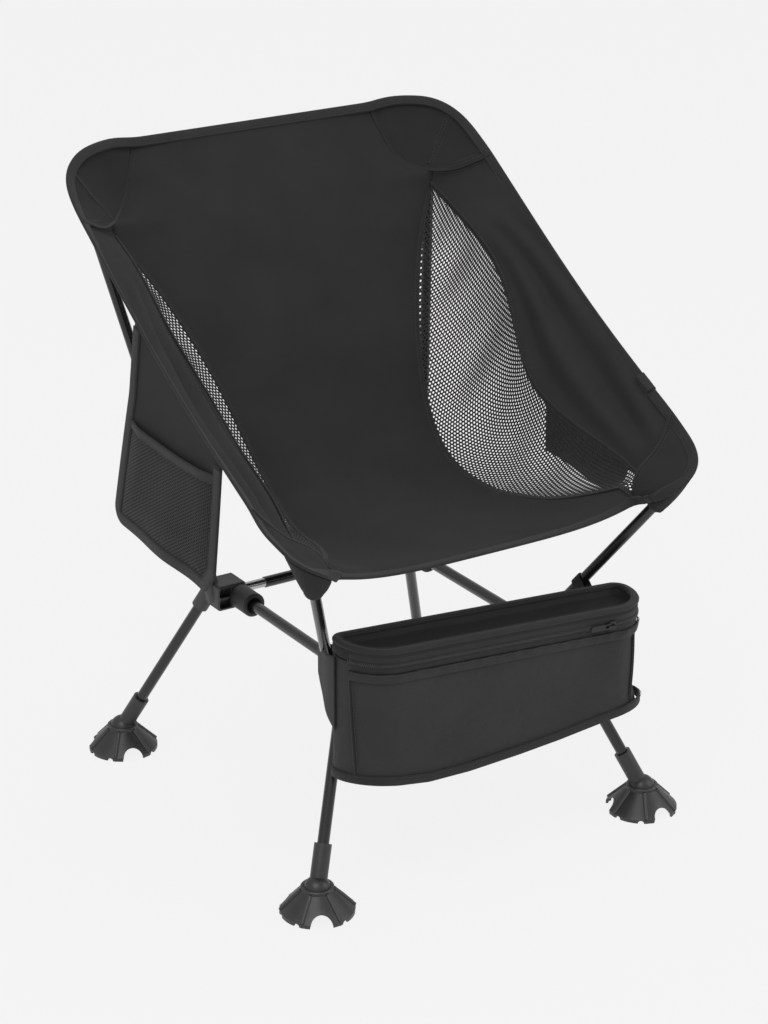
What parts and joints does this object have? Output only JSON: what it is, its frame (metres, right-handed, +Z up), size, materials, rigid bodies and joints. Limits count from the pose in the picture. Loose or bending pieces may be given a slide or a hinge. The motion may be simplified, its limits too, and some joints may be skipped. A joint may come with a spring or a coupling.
{
  "type": "chair",
  "caption": "Low folding backpacking chair: shock-corded pole frame with moulded hubs and swivelling ball feet, stretched fabric sling with mesh windows and side pockets, and a zipped under-seat bag.",
  "frame": {"origin": "on the floor, in the middle of the chair's overall width and depth", "axes": "+Z up, the chair faces -Y, +X is the side at the right of someone who stands in front of it"},
  "size_m": [0.5088, 0.4958, 0.6763],
  "materials": {
    "tube": "satin black anodised finish, smooth",
    "ferrule": "bare turned aluminium",
    "hub": "moulded nylon, fine matt texture",
    "collar": "moulded nylon, dark matt",
    "cap": "moulded plastic",
    "cord": "braided elastic cord",
    "stud": "moulded plastic, slight sheen",
    "foot": "matt moulded rubber",
    "fabric": "plain woven polyester, matt",
    "mesh": "open knitted mesh",
    "binding": "folded woven tape with stitching",
    "bag": "ripstop woven nylon with coating",
    "bag_trim": "folded tape over a piped seam",
    "tape": "woven zip tape with coil",
    "slider": "painted die-cast"
  },
  "bodies": {
    "frame": {"back_corner_pocket_left": "fabric", "back_corner_pocket_right": "fabric", "back_pole_lower_left": "tube", "back_pole_lower_right": "tube", "back_pole_upper_left": "tube", "back_pole_upper_right": "tube", "bag_base_rim": "bag_trim", "bag_body": "bag", "bag_straps": "binding", "crossbar_ferrules": "ferrule", "crossbar_tube": "tube", "frame_shock_cords": "cord", "front_binding": "binding", "front_corner_pocket_left": "fabric", "front_corner_pocket_right": "fabric", "front_hub_left": "hub", "front_hub_right": "hub", "mesh_window_left": "mesh", "mesh_window_right": "mesh", "pocket_mesh_left": "mesh", "pocket_mesh_right": "mesh", "pole_caps": "cap", "rail_collars": "collar", "rail_rings": "ferrule", "rear_hub_left": "hub", "rear_hub_right": "hub", "seat_panel": "fabric", "seat_pole_left": "tube", "seat_pole_right": "tube", "side_binding_left": "binding", "side_binding_right": "binding", "side_pocket_left": "fabric", "side_pocket_right": "fabric", "side_rail_left": "tube", "side_rail_right": "tube", "top_binding": "binding", "wing_left": "fabric", "wing_right": "fabric", "zip_tape_lower": "tape"},
    "leg_front_left": {"front_leg_left": "tube", "front_leg_cord_left": "cord"},
    "ball_front_left": {"front_ball_stud_left": "stud"},
    "foot_front_left": {"front_foot_left": "foot"},
    "leg_front_right": {"front_leg_right": "tube", "front_leg_cord_right": "cord"},
    "ball_front_right": {"front_ball_stud_right": "stud"},
    "foot_front_right": {"front_foot_right": "foot"},
    "leg_rear_left": {"rear_leg_left": "tube", "rear_leg_cord_left": "cord"},
    "ball_rear_left": {"rear_ball_stud_left": "stud"},
    "foot_rear_left": {"rear_foot_left": "foot"},
    "leg_rear_right": {"rear_leg_right": "tube", "rear_leg_cord_right": "cord"},
    "ball_rear_right": {"rear_ball_stud_right": "stud"},
    "foot_rear_right": {"rear_foot_right": "foot"},
    "lid": {"bag_lid": "bag", "bag_lid_rim": "bag_trim", "zip_tape_upper": "tape"},
    "slider": {"zip_slider": "slider"},
    "pull": {"zip_pull": "slider"}
  },
  "joints": [
    {"name": "leg_pull_front_left", "type": "slide", "parent": "frame", "child": "leg_front_left", "axis": [-0.3611, -0.3322, -0.8714], "range_m": [0, 0.02], "stiffness_N_per_m": 200, "springref_m": -0.02},
    {"name": "ball_swivel_front_left", "type": "hinge", "parent": "leg_front_left", "child": "ball_front_left", "pos_m": [-0.2, -0.21, 0.024], "axis": [-0.3611, -0.3322, -0.8714], "continuous": true},
    {"name": "foot_tilt_front_left", "type": "hinge", "parent": "ball_front_left", "child": "foot_front_left", "pos_m": [-0.2, -0.21, 0.024], "axis": [-0.6771, 0.7359, 0], "range_deg": [-2.6, 61.4]},
    {"name": "leg_pull_front_right", "type": "slide", "parent": "frame", "child": "leg_front_right", "axis": [0.3611, -0.3322, -0.8714], "range_m": [0, 0.02], "stiffness_N_per_m": 200, "springref_m": -0.02},
    {"name": "ball_swivel_front_right", "type": "hinge", "parent": "leg_front_right", "child": "ball_front_right", "pos_m": [0.2, -0.21, 0.024], "axis": [0.3611, -0.3322, -0.8714], "continuous": true},
    {"name": "foot_tilt_front_right", "type": "hinge", "parent": "ball_front_right", "child": "foot_front_right", "pos_m": [0.2, -0.21, 0.024], "axis": [-0.6771, -0.7359, 0], "range_deg": [-2.6, 61.4]},
    {"name": "leg_pull_rear_left", "type": "slide", "parent": "frame", "child": "leg_rear_left", "axis": [-0.3453, 0.3789, -0.8586], "range_m": [0, 0.02], "stiffness_N_per_m": 200, "springref_m": -0.02},
    {"name": "ball_swivel_rear_left", "type": "hinge", "parent": "leg_rear_left", "child": "ball_rear_left", "pos_m": [-0.196, 0.21, 0.024], "axis": [-0.3453, 0.3789, -0.8586], "continuous": true},
    {"name": "foot_tilt_rear_left", "type": "hinge", "parent": "ball_rear_left", "child": "foot_rear_left", "pos_m": [-0.196, 0.21, 0.024], "axis": [0.7391, 0.6736, 0], "range_deg": [-1.2, 62.8]},
    {"name": "leg_pull_rear_right", "type": "slide", "parent": "frame", "child": "leg_rear_right", "axis": [0.3453, 0.3789, -0.8586], "range_m": [0, 0.02], "stiffness_N_per_m": 200, "springref_m": -0.02},
    {"name": "ball_swivel_rear_right", "type": "hinge", "parent": "leg_rear_right", "child": "ball_rear_right", "pos_m": [0.196, 0.21, 0.024], "axis": [0.3453, 0.3789, -0.8586], "continuous": true},
    {"name": "foot_tilt_rear_right", "type": "hinge", "parent": "ball_rear_right", "child": "foot_rear_right", "pos_m": [0.196, 0.21, 0.024], "axis": [0.7391, -0.6736, 0], "range_deg": [-1.2, 62.8]},
    {"name": "bag_lid_hinge", "type": "hinge", "parent": "frame", "child": "lid", "pos_m": [0.00888, -0.179, 0.26197], "axis": [-0.9973, 0, 0.0732], "range_deg": [0, 45]},
    {"name": "zip_slide", "type": "slide", "parent": "frame", "child": "slider", "axis": [0.9973, 0, -0.0732], "range_m": [-0.236, 0]},
    {"name": "zip_pull_hinge", "type": "hinge", "parent": "slider", "child": "pull", "pos_m": [0.12399, -0.2453, 0.24148], "axis": [0.0732, 0, 0.9973], "range_deg": [0, 150]}
  ]
}
